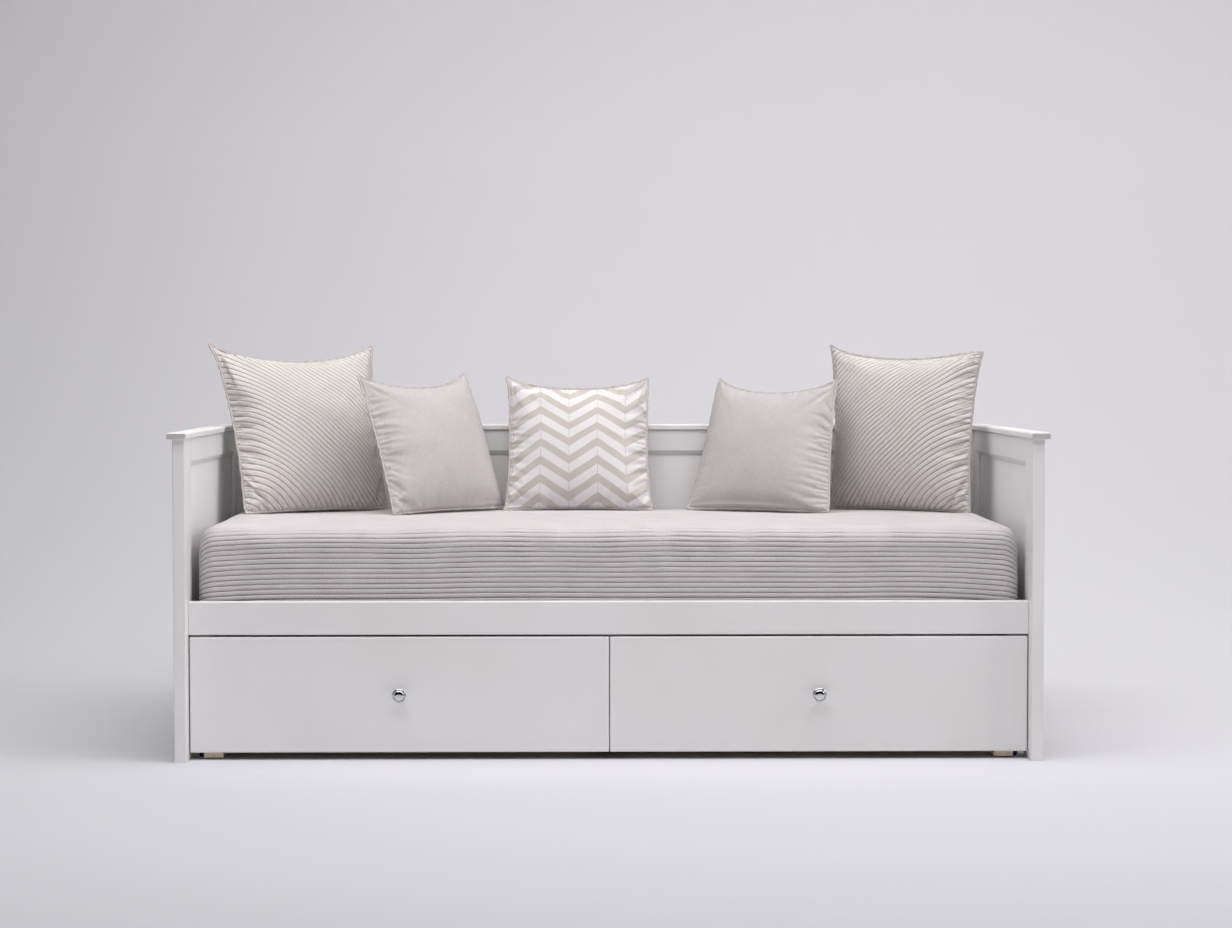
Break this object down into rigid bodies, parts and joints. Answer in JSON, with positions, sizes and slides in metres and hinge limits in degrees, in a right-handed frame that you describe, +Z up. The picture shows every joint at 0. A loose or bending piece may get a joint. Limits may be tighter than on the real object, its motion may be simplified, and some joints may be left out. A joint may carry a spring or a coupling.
{
  "type": "daybed",
  "caption": "Panelled storage daybed with high back and ends, slatted base, padded top with channelled coverlet, scatter cushions and roll-out drawers on wheels.",
  "frame": {"origin": "on the floor under the centre of the overall box", "axes": "+X along the daybed to the right of a person facing its open front, +Y from the open front to the back panel, +Z up"},
  "size_m": [2.094, 0.929, 0.9903],
  "materials": {
    "painted_wood": "satin",
    "pine": "matte",
    "plywood": "matte",
    "chrome": "polished",
    "steel": "satin",
    "wheel_plastic": "satin",
    "coverlet": "matte",
    "quilted_linen": "matte",
    "plain_linen": "matte",
    "chevron_linen": "matte"
  },
  "bodies": {
    "frame": {"left_front_stile": "painted_wood", "left_rear_stile": "painted_wood", "left_end_top_rail": "painted_wood", "left_end_bottom_rail": "painted_wood", "left_end_infill": "painted_wood", "left_end_cap": "painted_wood", "right_front_stile": "painted_wood", "right_rear_stile": "painted_wood", "right_end_top_rail": "painted_wood", "right_end_bottom_rail": "painted_wood", "right_end_infill": "painted_wood", "right_end_cap": "painted_wood", "back_left_stile": "painted_wood", "back_right_stile": "painted_wood", "back_top_rail": "painted_wood", "back_bottom_rail": "painted_wood", "back_infill": "painted_wood", "back_cap": "painted_wood", "front_rail": "painted_wood", "front_ledger": "pine", "rear_ledger": "pine", "left_drawer_kicker": "pine", "right_drawer_kicker": "pine", "centre_bearer": "pine", "centre_divider": "pine", "slat_roll": "pine", "mattress": "coverlet", "cushion_left_large": "quilted_linen", "cushion_left_small": "plain_linen", "cushion_centre": "chevron_linen", "cushion_right_small": "plain_linen", "cushion_right_large": "quilted_linen"},
    "left_drawer": {"left_drawer_front": "painted_wood", "left_drawer_outer_side": "plywood", "left_drawer_middle_side": "plywood", "left_drawer_back": "plywood", "left_drawer_bottom": "plywood", "left_drawer_knob": "chrome", "left_drawer_knob_screw": "steel", "left_drawer_front_outer_block": "pine", "left_drawer_front_middle_block": "pine", "left_drawer_rear_batten": "pine"},
    "left_drawer_front_outer_wheel": {"left_drawer_front_outer_wheel": "wheel_plastic"},
    "left_drawer_front_middle_wheel": {"left_drawer_front_middle_wheel": "wheel_plastic"},
    "left_drawer_rear_outer_wheel": {"left_drawer_rear_outer_wheel": "wheel_plastic"},
    "left_drawer_rear_middle_wheel": {"left_drawer_rear_middle_wheel": "wheel_plastic"},
    "right_drawer": {"right_drawer_front": "painted_wood", "right_drawer_outer_side": "plywood", "right_drawer_middle_side": "plywood", "right_drawer_back": "plywood", "right_drawer_bottom": "plywood", "right_drawer_knob": "chrome", "right_drawer_knob_screw": "steel", "right_drawer_front_outer_block": "pine", "right_drawer_front_middle_block": "pine", "right_drawer_rear_batten": "pine"},
    "right_drawer_front_outer_wheel": {"right_drawer_front_outer_wheel": "wheel_plastic"},
    "right_drawer_front_middle_wheel": {"right_drawer_front_middle_wheel": "wheel_plastic"},
    "right_drawer_rear_outer_wheel": {"right_drawer_rear_outer_wheel": "wheel_plastic"},
    "right_drawer_rear_middle_wheel": {"right_drawer_rear_middle_wheel": "wheel_plastic"}
  },
  "joints": [
    {"name": "left_drawer_slide", "type": "slide", "parent": "frame", "child": "left_drawer", "axis": [0, -1, 0], "range_m": [0, 0.6]},
    {"name": "left_front_outer_wheel_spin", "type": "hinge", "parent": "left_drawer", "child": "left_drawer_front_outer_wheel", "pos_m": [-0.972, -0.3605, 0.018], "axis": [1, 0, 0], "continuous": true},
    {"name": "left_front_middle_wheel_spin", "type": "hinge", "parent": "left_drawer", "child": "left_drawer_front_middle_wheel", "pos_m": [-0.033, -0.2385, 0.018], "axis": [1, 0, 0], "continuous": true},
    {"name": "left_rear_outer_wheel_spin", "type": "hinge", "parent": "left_drawer", "child": "left_drawer_rear_outer_wheel", "pos_m": [-0.972, 0.2495, 0.018], "axis": [1, 0, 0], "continuous": true},
    {"name": "left_rear_middle_wheel_spin", "type": "hinge", "parent": "left_drawer", "child": "left_drawer_rear_middle_wheel", "pos_m": [-0.033, 0.2495, 0.018], "axis": [1, 0, 0], "continuous": true},
    {"name": "right_drawer_slide", "type": "slide", "parent": "frame", "child": "right_drawer", "axis": [0, -1, 0], "range_m": [0, 0.6]},
    {"name": "right_front_outer_wheel_spin", "type": "hinge", "parent": "right_drawer", "child": "right_drawer_front_outer_wheel", "pos_m": [0.972, -0.3605, 0.018], "axis": [1, 0, 0], "continuous": true},
    {"name": "right_front_middle_wheel_spin", "type": "hinge", "parent": "right_drawer", "child": "right_drawer_front_middle_wheel", "pos_m": [0.033, -0.2385, 0.018], "axis": [1, 0, 0], "continuous": true},
    {"name": "right_rear_outer_wheel_spin", "type": "hinge", "parent": "right_drawer", "child": "right_drawer_rear_outer_wheel", "pos_m": [0.972, 0.2495, 0.018], "axis": [1, 0, 0], "continuous": true},
    {"name": "right_rear_middle_wheel_spin", "type": "hinge", "parent": "right_drawer", "child": "right_drawer_rear_middle_wheel", "pos_m": [0.033, 0.2495, 0.018], "axis": [1, 0, 0], "continuous": true}
  ],
  "couplings": [
    {"joint": "left_front_outer_wheel_spin", "follows": "left_drawer_slide", "rad_per_m": 55.556},
    {"joint": "left_front_middle_wheel_spin", "follows": "left_drawer_slide", "rad_per_m": 55.556},
    {"joint": "left_rear_outer_wheel_spin", "follows": "left_drawer_slide", "rad_per_m": 55.556},
    {"joint": "left_rear_middle_wheel_spin", "follows": "left_drawer_slide", "rad_per_m": 55.556},
    {"joint": "right_front_outer_wheel_spin", "follows": "right_drawer_slide", "rad_per_m": 55.556},
    {"joint": "right_front_middle_wheel_spin", "follows": "right_drawer_slide", "rad_per_m": 55.556},
    {"joint": "right_rear_outer_wheel_spin", "follows": "right_drawer_slide", "rad_per_m": 55.556},
    {"joint": "right_rear_middle_wheel_spin", "follows": "right_drawer_slide", "rad_per_m": 55.556}
  ]
}
